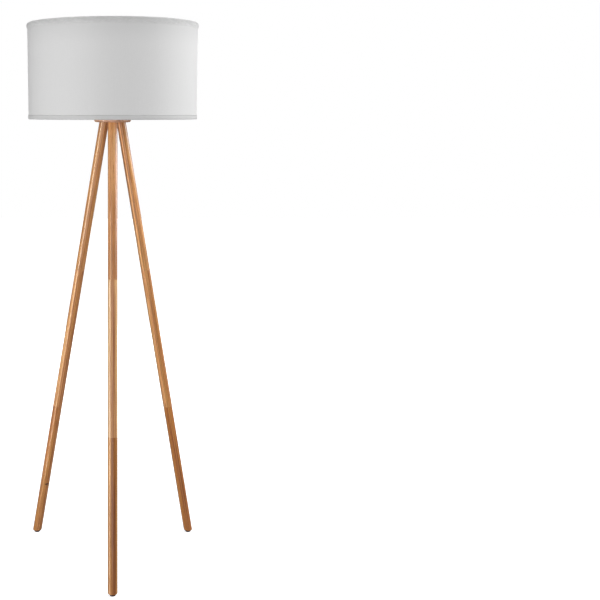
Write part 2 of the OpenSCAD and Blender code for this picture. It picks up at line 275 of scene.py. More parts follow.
def rounded(points, steps=5, closed=True):
    """Replaces each corner (x, y, radius) of an outline by an arc."""
    out = []
    n = len(points)
    for i, (x, y, radius) in enumerate(points):
        if radius <= 0 or (not closed and i in (0, n - 1)):
            out.append((x, y))
            continue
        p = Vector((x, y))
        a = Vector(points[i - 1][:2]) - p
        b = Vector(points[(i + 1) % n][:2]) - p
        half = a.angle(b) / 2
        if half > math.radians(89):
            out.append((x, y))
            continue
        reach = min(radius / math.tan(half), 0.49 * a.length, 0.49 * b.length)
        r = reach * math.tan(half)
        a.normalize()
        b.normalize()
        centre = p + (a + b).normalized() * (r / math.sin(half))
        v0, v1 = p + a * reach - centre, p + b * reach - centre
        sweep = v0.angle(v1)
        for k in range(steps + 1):
            t = k / steps
            v = (v0 * math.sin((1 - t) * sweep) + v1 * math.sin(t * sweep)) / math.sin(sweep)
            out.append(tuple(centre + v))
    return out


def subdivided(path, spacing, closed=True):
    """The same outline with points no further apart than about this spacing."""
    out = []
    ends = path[1:] + path[:1] if closed else path[1:]
    for (ra, za), (rb, zb) in zip(path, ends):
        pieces = max(1, int(math.hypot(rb - ra, zb - za) / spacing))
        out += [(ra + (rb - ra) * k / pieces, za + (zb - za) * k / pieces) for k in range(pieces)]
    return out if closed else out + [path[-1]]


def column(r, low, high, step):
    """Points up a straight wall of this radius."""
    n = max(1, int(abs(high - low) / step))
    return [(r, low + (high - low) * k / n) for k in range(n + 1)]


def revolved(profile, segments, shape=None, place=None):
    """Rings of points round an axis, one for each (radius, height) of the profile.
    shape(r, z, angle) may change a point's radius; place moves the axis from +Z."""
    rows = []
    for r, z in profile:
        ring = []
        for i in range(segments):
            a = TAU * i / segments
            rr = shape(r, z, a) if shape else r
            p = Vector((rr * math.cos(a), rr * math.sin(a), z))
            ring.append(place @ p if place else p)
        rows.append(ring)
    return rows


def turned(name, profile, segments, material, body, node, shape=None, place=None, closed=True,
           caps=False, sharp=40):
    verts, faces, _ = grid(revolved(profile, segments, shape, place), closed=closed, caps=caps)
    return finish_mesh(mesh_object(name, verts, faces), material, body, [node], sharp)


def thread(pitch, depth, low, high, beyond):
    """A radius change that cuts a round thread between two heights, where the radius is beyond this one."""
    def shape(r, z, a):
        if r < beyond:
            return r
        t = (z / pitch - a / TAU) % 1.0
        fade = max(0.0, min(1.0, (z - low) / (0.6 * pitch), (high - z) / (0.6 * pitch)))
        return r - depth * fade * (0.5 - 0.5 * math.cos(TAU * t))
    return shape


def fluted(count, depth, low, outer):
    """A radius change that cuts finger grooves into the outer wall above a height."""
    def shape(r, z, a):
        if r < outer - 1.6 * MM or z < low:
            return r
        flute = max(0.0, math.cos(a * count)) ** 3
        return r - depth * flute * min(1.0, (z - low) / (1.2 * MM))
    return shape


def hexagonal(apothem, low, high):
    """A radius change that makes a nut between two heights, with chamfered ends."""
    def shape(r, z, a):
        if r < 6 * MM:
            return r
        flat = apothem / math.cos(a % (TAU / 6) - TAU / 12)
        return min(flat, r, apothem + 0.25 * MM + 1.8 * min(z - low, high - z))
    return shape


# ------------------------ wood
SPOT_COLOUR = (0.075, 0.028, 0.010)
EVERYWHERE = 34  # a patch's half width that takes in a leg's whole thickness


def wood(name, light, mid, dark, spots=(), tone_and_light_patches=(), pith=(38, 22), spacing=3.4):
    """Varnished wood. The attribute "grain" holds millimetres, with z along the fibres, and "tint" the
    piece's own shift of colour together with painted shade. In grain coordinates, each spot is (centre, half
    sizes, depth of colour) and each patch (centre, half sizes, shift of colour); the patches hold the wood's
    own tones, painted highlights and painted shade. The growth rings lie round the pith."""
    s = Shader(name, IOR=1.5, Specular_IOR_Level=0.35, Coat_Weight=0.75, Coat_Roughness=0.10, Coat_IOR=1.5)
    grain = s.attribute("grain")

    def fibrous(across, along, **settings):
        """Noise drawn out along the fibres; its scales are per millimetre."""
        return s.noise(s.scaled(grain, (across, across, along)), **settings)

    def distance(point, centre, half):
        """1 on the surface of an ellipsoid."""
        away = s.moved(point, tuple(-c for c in centre))
        return s.length(s.scaled(away, tuple(1 / h for h in half)))

    sway = s.centred(fibrous(0.05, 0.0045, detail=2, out="Color"))
    swayed = s.moved(grain, s.scaled(sway, (14, 14, 0)))
    rings = s.node("TexWave", {"wave_type": "RINGS", "rings_direction": "Z", "wave_profile": "SAW"},
                   {"Vector": s.moved(swayed, (-pith[0], -pith[1], 0)), "Scale": 0.314 / spacing,
                    "Distortion": 0.6, "Detail": 2, "Detail Scale": 1.2}, out="Fac")
    late = s.mapped(rings, 0.45, 1.0)
    streak = fibrous(0.40, 0.0042, rough=0.55)
    fibre = fibrous(1.2, 0.013, rough=0.6)
    fine = fibrous(3.8, 0.05, rough=0.6)
    broad = fibrous(0.09, 0.0035, detail=2)
    pores = s.mapped(fibrous(2.3, 0.13, detail=2), 0.60, 0.70)
    tone = s.weighted((streak, 0.55), (fibre, 0.30), (fine, 0.15))
    base = s.ramp(tone, (0.385, dark), (0.485, mid), (0.60, light))
    base = s.mix(s.math("MULTIPLY", late, 0.42), base, dark)
    pink = s.mix(s.mapped(broad, 0.38, 0.62), (1.06, 1.02, 0.86), (1.00, 0.92, 0.95))
    base = s.mix(0.9, base, pink, "MULTIPLY")
    base = s.mix(s.math("MULTIPLY", pores, 0.5), base, tuple(0.42 * c for c in dark))
    base = s.mix(1.0, base, s.attribute("tint_and_shade"), "MULTIPLY")
    for centre, half, colour in tone_and_light_patches:
        base = s.mix(s.mapped(distance(grain, centre, half), 1.25, 0.55), base, colour, "MULTIPLY")
    relief = s.weighted((fine, 0.5), (fibre, 0.5), (pores, -0.35))
    if spots:
        rough_edge = s.centred(s.noise(grain, 0.7, 2, out="Color"))
        ragged = s.moved(grain, s.scaled(rough_edge, (0.9, 0.9, 0.9)))
        dents = None
        for centre, half, depth in spots:
            spot = s.mapped(distance(ragged, centre, half), 1.15, 0.45)
            base = s.mix(s.math("MULTIPLY", spot, depth), base, SPOT_COLOUR)
            dents = spot if dents is None else s.math("MAXIMUM", dents, spot)
        relief = s.math("SUBTRACT", relief, s.math("MULTIPLY", dents, 0.6))
    s.set(s.bsdf, {
        "Base_Color": base,
        "Roughness": s.math("ADD", s.math("MULTIPLY", fine, 0.16), 0.30),
        "Normal": s.bump(relief, 0.08 * MM, 0.35),
    })
    return s.material


# ------------------------ legs
LEG_LIGHT, LEG_MID, LEG_DARK = (0.78, 0.44, 0.190), (0.62, 0.292, 0.110), (0.34, 0.125, 0.038)
disc_low, disc_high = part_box("top_disc")
mounts = {m["name"]: Vector(m["pos_m"]) for m in frame["record"]["mounts"]}
# Distances from the lamp's axis: of a foot pad, and of a leg's own axis at the floor and at the disc
FOOT_AT = mounts["front_foot_rest"].length
FOOT_R = FOOT_AT + 1 * MM
LEG_TOP_R = 27 * MM
LEG_W, LEG_ROUND = 25.2 * MM, 10.8 * MM
PAD_T, PAD_R, FOOT_END_R = 2 * MM, 8 * MM, 8.5 * MM
# Below this height, a leg's rows of points turn level
FOOT_BLEND = 22 * MM
LEAN = math.atan2(FOOT_R - LEG_TOP_R, disc_low.z)
LEG_LEN = math.hypot(FOOT_R - LEG_TOP_R, disc_low.z)
LEG_END = LEG_LEN + 5 * MM
SEAMS = [LEG_END, LEG_LEN * 2 / 3, LEG_LEN / 3, 0]
# (side, azimuth, how far each section is screwed round, how far the grain is turned), in degrees
LEGS = [
    ("front", -90, (22, 61, 59), 20),
    ("rear_left", 150, (1, 0, 2), 150),
    ("rear_right", 30, (74, 78, 66), 265),
]
PARTS = ("top", "middle", "bottom")
BOTTOM = 2
ROW_SPACING = 6 * MM
# Rows of points that lie closer together: in mm from a seam, and up from the foot
SEAM_ROWS = (0, 0.12, 0.3, 0.55, 0.9)
FOOT_ROWS = (0, 0.08, 0.2, 0.4, 0.8, 1.4, 2, 2.6, 3.2, 3.7, 4.2, 4.7, 5.2, 5.7, 6.2, 6.7, 7.2, 7.8, 8.5,
             9.5, 11, 14, 18, 22)
# Each section's colour shift, in the order of LEGS and PARTS: each piece's own wood tone, and on the
# bottom sections also painted shade, darker towards the floor
SECTION_TONE_AND_SHADE = [
    [(1.06, 1.03, 1.05), (1.06, 1.16, 1.30), (0.87, 0.82, 0.66)],
    [(0.99, 0.95, 0.86), (1.00, 0.97, 0.93), (0.95, 0.88, 0.75)],
    [(1.05, 1.07, 1.11), (1.13, 1.15, 1.10), (0.93, 0.76, 0.53)],
]
# How strongly each channel follows the painted shade on the foot's chamfer
CHAMFER_SHADE_HUE = (1.0, 1.25, 1.5)


def leg_outline(turn, steps=9):
    """The rounded square of a leg, turned by this many degrees, as (x, y) points."""
    arcs = []
    c = LEG_W / 2 - LEG_ROUND
    for k, (sx, sy) in enumerate([(1, 1), (-1, 1), (-1, -1), (1, -1)]):
        for i in range(steps + 1):
            a = math.radians(90 * k + 90 * i / steps)
            arcs.append(Vector((sx * c + LEG_ROUND * math.cos(a), sy * c + LEG_ROUND * math.sin(a))))
    outline = []
    for i, p in enumerate(arcs):
        outline.append(p)
        q = arcs[(i + 1) % len(arcs)]
        if (q - p).length > 4 * MM:
            outline += [p.lerp(q, 1 / 3), p.lerp(q, 2 / 3)]
    turned_by = Matrix.Rotation(math.radians(turn), 2)
    return [turned_by @ p for p in outline]


def leg_heights(low, high, part):
    """Heights of a section's rows of points, close together at its seams and at the foot."""
    if part == BOTTOM:
        heights = [k * MM for k in FOOT_ROWS]
        start = FOOT_BLEND + ROW_SPACING
    else:
        heights = [low + k * MM for k in SEAM_ROWS]
        start = low + 5 * MM
    steps = int((high - low) / ROW_SPACING)
    heights += [start + (high - 5 * MM - start) * i / steps for i in range(steps + 1)]
    return heights + [high - k * MM for k in reversed(SEAM_ROWS)]


def soft_min(a, b, reach):
    return min(a, b) - max(reach - abs(a - b), 0) ** 2 / (4 * reach)


def foot_end(at, foot):
    """Draws a point in to the foot's chamfer. Gives the point and its brightness: painted shade on the
    chamfer, which faces down to the floor, and a painted highlight along the rim above it."""
    out = Vector((at.x - foot.x, at.y - foot.y, 0))
    up = at.z - PAD_T
    limit = FOOT_END_R + up - 0.25 * MM * max(0, 1 - up / (0.35 * MM)) ** 2
    over = (out.length - limit) / MM
    # Painted shade on the downward chamfer and a painted highlight along the rim above it
    chamfer_shade = max(0, min(1, (over + 0.9) / 0.8))
    rim_highlight = max(0, 1 - abs(over + 1.8))
    drawn_in = out.normalized() * soft_min(out.length, limit, 1.6 * MM)
    return Vector((foot.x, foot.y, at.z)) + drawn_in, 1 - 0.86 * chamfer_shade + 0.38 * rim_highlight


def leg_section(leg, part):
    """One section's mesh, and the turn and offset that lead from the leg to grain coordinates."""
    side, azimuth, turns, grain_turn = LEGS[leg]
    about = Matrix.Rotation(math.radians(azimuth), 4, "Z")
    axis = about @ Matrix.Translation((FOOT_R, 0, 0)) @ Matrix.Rotation(-LEAN, 4, "Y")
    foot = about @ Vector((FOOT_AT, 0, 0))
    outline = leg_outline(turns[part])
    low, high = SEAMS[part + 1], SEAMS[part]
    seed = Vector((leg * 31.7 + 4, part * 17.3 + 2, (leg * 3 + part) * 411.0))
    spin = Matrix.Rotation(math.radians(grain_turn + part * 67), 3, "Z")
    rows, grain, tint_and_shade = [], [], []
    for z in leg_heights(low, high, part):
        near = (high - z if part == BOTTOM else min(z - low, high - z)) / MM
        inset = 0.42 * MM * max(0.0, 1 - near / 0.55) ** 1.6
        ring = []
        for p in outline:
            wave = noise.noise(Vector((p.x * 60, p.y * 60, z * 9)) + seed)
            r = p.length - inset - 0.10 * MM * (0.5 + 0.5 * wave)
            q = p.normalized() * r
            at_foot = part == BOTTOM and z < FOOT_BLEND
            height = z
            if at_foot:
                level = (PAD_T - q.x * math.sin(LEAN)) / math.cos(LEAN)
                height = level * (1 - z / FOOT_BLEND) + z
            local = Vector((q.x, q.y, height))
            at, shade = foot_end(axis @ local, foot) if at_foot else (axis @ local, 1.0)
            ring.append(at)
            grain.append(spin @ (local * 1000) + seed)
            tint_and_shade.append(tuple(c * shade ** k for c, k in zip(SECTION_TONE_AND_SHADE[leg][part], CHAMFER_SHADE_HUE)))
        rows.append(ring)
    verts, faces, _ = grid(rows, caps=True)
    name = f"{side}_leg_{PARTS[part]}"
    obj = mesh_object(name + "_wood", verts, faces, attributes={"grain": grain, "tint_and_shade": tint_and_shade})
    return obj, name, spin, seed


def grain_point(spin, seed, angle, z_mm):
    """A point on a leg's surface in grain coordinates; angle is about the leg's own axis, in degrees."""
    a = math.radians(angle)
    r_mm = LEG_W / 2 / MM
    return tuple(spin @ Vector((r_mm * math.cos(a), r_mm * math.sin(a), z_mm)) + seed)


# Dark streaks, knots and a short slit across the grain. The long streaks on the middle and bottom
# sections, in the band that faces away from both side lamps, are partly wood and partly painted shade.
# Each entry:
# (leg, part) -> (angle about the leg, height along it in mm, half sizes in mm, depth)
MARKS = {
    (0, 0): [(15, 1060, (0.9, 0.9, 210), 0.42), (-8, 1120, (0.6, 0.6, 5), 0.5),
             (-25, 985, (0.5, 0.5, 4), 0.4), (-13, 950, (0.9, 0.9, 90), 0.35),
             (27, 940, (1.2, 1.2, 120), 0.45)],
    (0, 1): [(24, 640, (1.5, 1.5, 230), 0.40)],
    (0, 2): [(26, 170, (1.8, 1.8, 260), 0.45)],
    (1, 0): [(56, 1141, (1.1, 1.1, 4), 0.85), (50, 1118, (0.9, 0.9, 3), 0.8), (92, 1196, (4, 4, 0.5), 0.4)],
    (1, 1): [(140, 610, (1.2, 1.2, 120), 0.3)],
    (1, 2): [(152, 170, (8, 8, 3.6), 1.0), (112, 320, (0.6, 0.6, 6), 0.5)],
    (2, 0): [(214, 1090, (0.7, 0.7, 60), 0.4)],
    (2, 1): [(250, 700, (1.1, 1.1, 150), 0.35)],
    (2, 2): [(262, 200, (1.6, 1.6, 220), 0.4)],
}
# Areas of paler, redder or darker colour, which hold the wood's own tones as well as painted highlights
# and painted shade along the legs' lit and shaded sides: angle, height, half width and half length in mm,
# shift of colour
TONE_AND_LIGHT_PATCHES = {
    (0, 0): [(0, 1210, EVERYWHERE, 150, (1.14, 1.25, 1.42)), (62, 1050, 8, 500, (0.96, 0.95, 0.95)),
             (0, 850, EVERYWHERE, 95, (0.82, 0.79, 0.78)), (-50, 1050, 6, 500, (1.12, 1.12, 1.06)),
             (-10, 1050, 3.5, 500, (0.88, 0.83, 0.76)), (0, 1275, EVERYWHERE, 36, (1.20, 1.17, 1.15))],
    (0, 1): [(26, 600, 7, 300, (0.86, 0.80, 0.76)), (70, 640, 6.5, 500, (1.36, 1.62, 2.00)),
             (-52, 640, 6, 500, (1.22, 1.50, 1.75)), (-3, 640, 4.5, 500, (0.75, 0.63, 0.50))],
    (0, 2): [(14, 200, 8.5, 500, (0.61, 0.46, 0.24)), (-60, 380, 8, 120, (1.12, 1.12, 1.08)),
             (-50, 250, 7, 500, (1.06, 1.12, 1.14)), (55, 250, 3.5, 500, (1.12, 1.18, 1.24))],
    (1, 0): [(185, 1050, 10, 500, (0.98, 0.97, 0.96)), (36, 1190, 6, 100, (0.60, 0.52, 0.44)),
             (101, 1050, 4, 500, (0.86, 0.84, 0.80)), (68, 1050, 4.5, 500, (1.14, 1.22, 1.28)),
             (145, 1050, 4.5, 500, (0.90, 0.92, 0.93))],
    (1, 1): [(185, 640, 10, 500, (0.88, 0.85, 0.80)), (78, 640, 5.5, 500, (1.30, 1.42, 1.60))],
    (1, 2): [(185, 200, 10, 500, (0.93, 0.90, 0.84)), (80, 340, 8, 140, (1.16, 1.14, 1.06))],
    (2, 0): [(290, 1050, 11, 150, (1.22, 1.22, 1.18)), (168, 1130, 7.5, 220, (0.56, 0.48, 0.40)),
             (212, 1050, 2.2, 500, (1.36, 1.34, 1.28))],
    (2, 1): [(212, 640, 3, 500, (1.24, 1.22, 1.18)), (272, 640, 5, 500, (0.87, 0.78, 0.66))],
    (2, 2): [(240, 90, 9, 190, (0.88, 0.84, 0.80))],
}
for leg in range(len(LEGS)):
    for part in range(len(PARTS)):
        obj, name, spin, seed = leg_section(leg, part)
        spots = [(grain_point(spin, seed, angle, z), half, depth)
                 for angle, z, half, depth in MARKS[leg, part]]
        tone_and_light_patches = [(grain_point(spin, seed, angle, z), (wide, wide, long), shift)
                   for angle, z, wide, long, shift in TONE_AND_LIGHT_PATCHES[leg, part]]
        material = wood("LegWood_" + name, LEG_LIGHT, LEG_MID, LEG_DARK, spots, tone_and_light_patches)
        finish_mesh(obj, material, "stand", [name], sharp=50)

# ------------------------ top disc
DISC_LIGHT, DISC_MID, DISC_DARK = (0.90, 0.56, 0.380), (0.80, 0.460, 0.300), (0.56, 0.270, 0.155)
DISC_BORE_R, NUT_POCKET_R, NUT_POCKET_DEPTH = 5.2 * MM, 9.5 * MM, 8 * MM
disc_wood = wood("DiscWood", DISC_LIGHT, DISC_MID, DISC_DARK, pith=(30, 45), spacing=4.2)
pocket_z = disc_low.z + NUT_POCKET_DEPTH
disc_profile = rounded([
    (DISC_BORE_R, pocket_z, 0), (NUT_POCKET_R, pocket_z, 0.3 * MM), (NUT_POCKET_R, disc_low.z, 0.6 * MM),
    (disc_high.x, disc_low.z, 5 * MM), (disc_high.x, disc_high.z, 2 * MM),
    (DISC_BORE_R, disc_high.z, 0.4 * MM),
], steps=8)
verts, faces, _ = grid(revolved(subdivided(disc_profile, 3 * MM), 160), closed=True)
# The fibres run along X
grain = [((v.y * 1000) + 7, (v.z - disc_low.z) * 1000 - 11, v.x * 1000 + 90) for v in verts]
obj = mesh_object("top_disc_wood", verts, faces,
                  attributes={"grain": grain, "tint_and_shade": [(1, 1, 1)] * len(verts)})
finish_mesh(obj, disc_wood, "stand", ["top_disc"], sharp=50)


# ------------------------ plain materials
def speckled(name, colour, roughness, variation=0.04, scale=900.0, bump=0.00002, wear=0.0, **sockets):
    """Moulded, cast or painted surface: fine relief, slightly uneven colour and gloss, paler edges."""
    s = Shader(name, **sockets)
    at = s.object_coordinates()
    fine = s.noise(at, scale, 3, 0.55)
    broad = s.noise(at, scale / 22, 3, 0.6)
    dark = tuple(c * (1 - variation * 2) for c in colour)
    base = s.ramp(s.weighted((fine, 0.4), (broad, 0.6)), (0.35, dark), (0.65, colour))
    if wear:
        edge = s.mapped(s.node("NewGeometry", out="Pointiness"), 0.52, 0.60, 0.0, wear)
        base = s.mix(edge, base, tuple(min(1, c * 1.5 + 0.05) for c in colour))
    s.set(s.bsdf, {
        "Base_Color": base,
        "Roughness": s.math("ADD", s.math("MULTIPLY", broad, 0.14), roughness - 0.07),
        "Normal": s.bump(fine, bump, 0.5),
    })
    return s.material


def metal(name, colour, roughness):
    """Metal with fine directional marks and blotches of duller plating."""
    s = Shader(name, Metallic=1.0)
    at = s.object_coordinates()
    lines = s.noise(s.scaled(at, (700, 700, 5600)), 1.0, 3, 0.6)
    cloud = s.noise(at, 120, 3, 0.6)
    uneven = s.math("MULTIPLY", s.math("ADD", lines, cloud), 0.12)
    s.set(s.bsdf, {
        "Base_Color": s.ramp(cloud, (0.3, tuple(c * 0.84 for c in colour)), (0.7, colour)),
        "Roughness": s.math("ADD", uneven, roughness - 0.12),
        "Normal": s.bump(lines, 0.00001, 0.4),
    })
    return s.material


rubber = speckled("Rubber", (0.085, 0.027, 0.007), 0.80, 0.15, 700, 0.00006, wear=0.3,
                  Specular_IOR_Level=0.15)
zinc = metal("ZincPlate", (0.60, 0.62, 0.66), 0.34)
brass = metal("Brass", (0.72, 0.52, 0.22), 0.30)
nickel = metal("NickelPlate", (0.66, 0.66, 0.67), 0.26)
holder_plastic = speckled("HolderPlastic", (0.80, 0.80, 0.78), 0.34, 0.015, 1400, 0.000012,
                          Specular_IOR_Level=0.5, Coat_Weight=0.12, Coat_Roughness=0.25)
bulb_plastic = speckled("BulbPlastic", (0.82, 0.82, 0.81), 0.30, 0.012, 1600, 0.00001)
black_plastic = speckled("BlackPlastic", (0.022, 0.022, 0.023), 0.42, 0.10, 1200, 0.00002)
ceramic = speckled("Ceramic", (0.80, 0.79, 0.75), 0.12, 0.03, 500, 0.00003,
                   Coat_Weight=0.8, Coat_Roughness=0.04)
paint = speckled("WhitePaint", (0.80, 0.80, 0.79), 0.40, 0.02, 1500, 0.00003)
frosted = speckled("FrostedDiffuser", (0.88, 0.88, 0.86), 0.48, 0.01, 1800, 0.00001,
                   Subsurface_Weight=0.35, Subsurface_Radius=(0.01, 0.01, 0.01), Subsurface_Scale=1.0)
green_board = speckled("GreenBoard", (0.02, 0.15, 0.06), 0.35, 0.12, 600, 0.00003)
white_board = speckled("WhiteBoard", (0.80, 0.80, 0.79), 0.40, 0.03, 900, 0.00001)
phosphor = speckled("Phosphor", (0.80, 0.56, 0.09), 0.45, 0.06, 1500, 0.00002)

CAD_LOOKS = {
    "leg_bolts": zinc, "disc_inserts": zinc, "joint_studs": zinc, "joint_inserts": zinc,
    "holder_insulator": ceramic, "screw_shell": brass, "centre_contact": brass,
    "terminal_blocks": brass, "terminal_screws": zinc,
    "switch_block": holder_plastic, "switch_bush": brass, "switch_shaft": zinc,
    "top_wire_ring": paint, "bottom_wire_ring": paint,
    "driver_board": green_board, "led_board": white_board, "led_chips": phosphor,
    "bulb_insulator": black_plastic,
}
for name, material in CAD_LOOKS.items():
    cad = nodes[name]
    cad.data.materials.clear()
    cad.data.materials.append(material)

# ------------------------ foot pads
pad_profile = rounded([
    (AXIS_R, 0, 0), (PAD_R, 0, 0.4 * MM), (PAD_R, PAD_T, 0.7 * MM), (AXIS_R, PAD_T, 0)], closed=False)
for side, azimuth, *_ in LEGS:
    place = Matrix.Rotation(math.radians(azimuth), 4, "Z") @ Matrix.Translation((FOOT_AT, 0, 0))
    turned(side + "_foot_pad_disc", pad_profile, 72, rubber, "stand", side + "_foot_pad",
           closed=False, caps=True, place=place)

# ------------------------ shade
cloth_low, cloth_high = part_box("shade_cloth")
_, hem_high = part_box("top_hem")
foot_low, foot_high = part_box("bottom_hem")
liner_low, liner_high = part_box("shade_liner")
ring_low, ring_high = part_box("top_wire_ring")
SHADE_R = cloth_high.x
LINER_R = liner_high.x
LINER_T = 0.9 * MM
SHADE_TOP, SHADE_BOTTOM = hem_high.z, foot_low.z
TOP_BULGE = hem_high.x - SHADE_R
BOTTOM_BULGE = foot_high.x - SHADE_R
WIRE_R = (ring_high.z - ring_low.z) / 2
RING_R = ring_high.x - WIRE_R
REAR = math.pi / 2
THREAD = 0.42 * MM
CLOTH_LAP = 9 * MM
DARK_ZONE = 75 * MM
CLOTH_COLOUR = (0.81, 0.81, 0.81)


def cloth(name, crease=0.0, tinted=False, darkest_z=None):
    """Fine plain weave from the UV map, which is in metres round the shade and up it. It takes the attribute
    "tint" if told to, and gets darker over the last DARK_ZONE up to darkest_z."""
    def darkened(share):
        return tuple(c * share for c in CLOTH_COLOUR)

    s = Shader(name, Roughness=0.88, Sheen_Weight=0.12, Sheen_Roughness=0.5, Specular_IOR_Level=0.25)
    uv = s.node("UVMap", {"uv_map": "Cloth"})
    u = s.node("SeparateXYZ", (), {0: uv}, out="X")
    v = s.node("SeparateXYZ", (), {0: uv}, out="Y")
    warp, weft = [s.math("SINE", s.math("MULTIPLY", x, TAU / THREAD)) for x in (u, v)]
    over, under = [s.math("SINE", s.math("MULTIPLY", x, TAU / THREAD / 2)) for x in (u, v)]
    weave = s.weighted((warp, 0.3), (weft, 0.3), (s.math("MULTIPLY", over, under), 0.4))
    slubs = s.math("ADD", s.noise(s.scaled(uv, (1900, 60, 1)), 1.0, 2, 0.6),
                   s.noise(s.scaled(uv, (60, 1900, 1)), 1.0, 2, 0.6))
    broad = s.noise(s.scaled(uv, (14, 9, 1)), 1.0, 3, 0.5)
    bands = s.noise(s.scaled(uv, (330, 5, 1)), 1.0, 2, 0.6)
    shade = s.ramp(s.math("MULTIPLY", slubs, 0.5), (0.34, darkened(0.93)), (0.62, CLOTH_COLOUR))
    shade = s.mix(s.mapped(broad, 0.3, 0.7, 0.0, 0.5), shade, darkened(0.965))
    shade = s.mix(s.mapped(bands, 0.35, 0.65, 0.0, 0.5), shade, darkened(0.955))
    if tinted:
        shade = s.mix(1.0, shade, s.attribute("tint_and_shade"), "MULTIPLY")
    if darkest_z:
        shade = s.mix(s.mapped(v, darkest_z - DARK_ZONE, darkest_z), shade, darkened(0.88))
    shade = s.mix(s.mapped(weave, -0.8, 0.9, 0.10, 0.0), shade, darkened(0.8))
    normal = s.bump(s.weighted((weave, 0.5), (slubs, 0.8)), 0.00005, 0.5)
    if crease:
        bent = s.scaled(s.noise(uv, 25, 2, out="Color"), (2, 2, 0))
        folds = s.noise(s.moved(s.scaled(uv, (70, 210, 1)), bent), 1.0, 3, 0.55)
        normal = s.bump(folds, crease, 0.8, normal)
    s.set(s.bsdf, {"Base_Color": shade, "Normal": normal})
    return s.material


def liner():
    """Stiff white sheet with a fine pebbled surface."""
    s = Shader("Liner", Roughness=0.42, Specular_IOR_Level=0.4)
    at = s.object_coordinates()
    mottle = s.noise(at, 60, 4, 0.6)
    s.set(s.bsdf, {
        "Base_Color": s.ramp(mottle, (0.3, (0.79, 0.79, 0.77)), (0.7, (0.85, 0.85, 0.84))),
        "Normal": s.bump(s.noise(at, 1300, 2, 0.5), 0.00002, 0.5),
    })
    return s.material


def wall(name, r_in, r_out, low, high, material, node, lap, lap_at, lap_w, inside):
    """A thin upright wall whose ends overlap by lap_w at the angle lap_at, where it stands lap proud."""
    columns = 720
    heights = [low + (high - low) * k / 40 for k in range(41)]

    def lapped(r, a):
        along = ((a - lap_at + math.pi) % TAU - math.pi) * r_out
        if abs(along) <= lap_w / 2:
            return r - lap if inside else r + lap
        return r

    profile = [(r_out, z) for z in heights] + [(r_in, z) for z in reversed(heights)]
    rows = []
    for k, (r, z) in enumerate(profile):
        outer = k < len(heights)
        ring = []
        for i in range(columns):
            a = TAU * i / columns
            unevenness = noise.noise(Vector((math.cos(a) * 3, math.sin(a) * 3, z * 4))) - 0.5
            rr = r + 0.05 * MM * unevenness
            if outer != inside:
                rr = lapped(rr, a)
            ring.append(Vector((rr * math.cos(a), rr * math.sin(a), z)))
        rows.append(ring)
    verts, faces, corners = grid(rows, closed=True)
    uvs = [(TAU * r_out * i / columns, profile[j % len(profile)][1]) for j, i in corners]
    obj = mesh_object(name, verts, faces, uvs)
    return finish_mesh(obj, material, "shade", [node], sharp=60)


shade_fabric = cloth("ShadeFabric", darkest_z=SHADE_TOP)
hem_fabric = cloth("HemFabric", crease=0.0016, tinted=True)
bottom_fabric = cloth("BottomHemFabric", crease=0.0004, tinted=True)
cloth_wall = wall(
    "shade_cloth_wall", LINER_R + 0.02 * MM, SHADE_R, cloth_low.z, cloth_high.z, shade_fabric,
    "shade_cloth", 0.35 * MM, REAR, CLOTH_LAP, inside=False)
wall("shade_liner_wall", LINER_R - LINER_T, LINER_R, liner_low.z, liner_high.z, liner(),
     "shade_liner", 0.6 * MM, REAR + 0.05, 12 * MM, inside=True)


# ------------------------ the shade's hems
def stepwise(stops, x, otherwise):
    """The value at x on the straight lines between (x, value) stops."""
    for (x0, y0), (x1, y1) in zip(stops, stops[1:]):
        if x0 <= x <= x1:
            return y0 + (y1 - y0) * (x - x0) / (x1 - x0)
    return otherwise


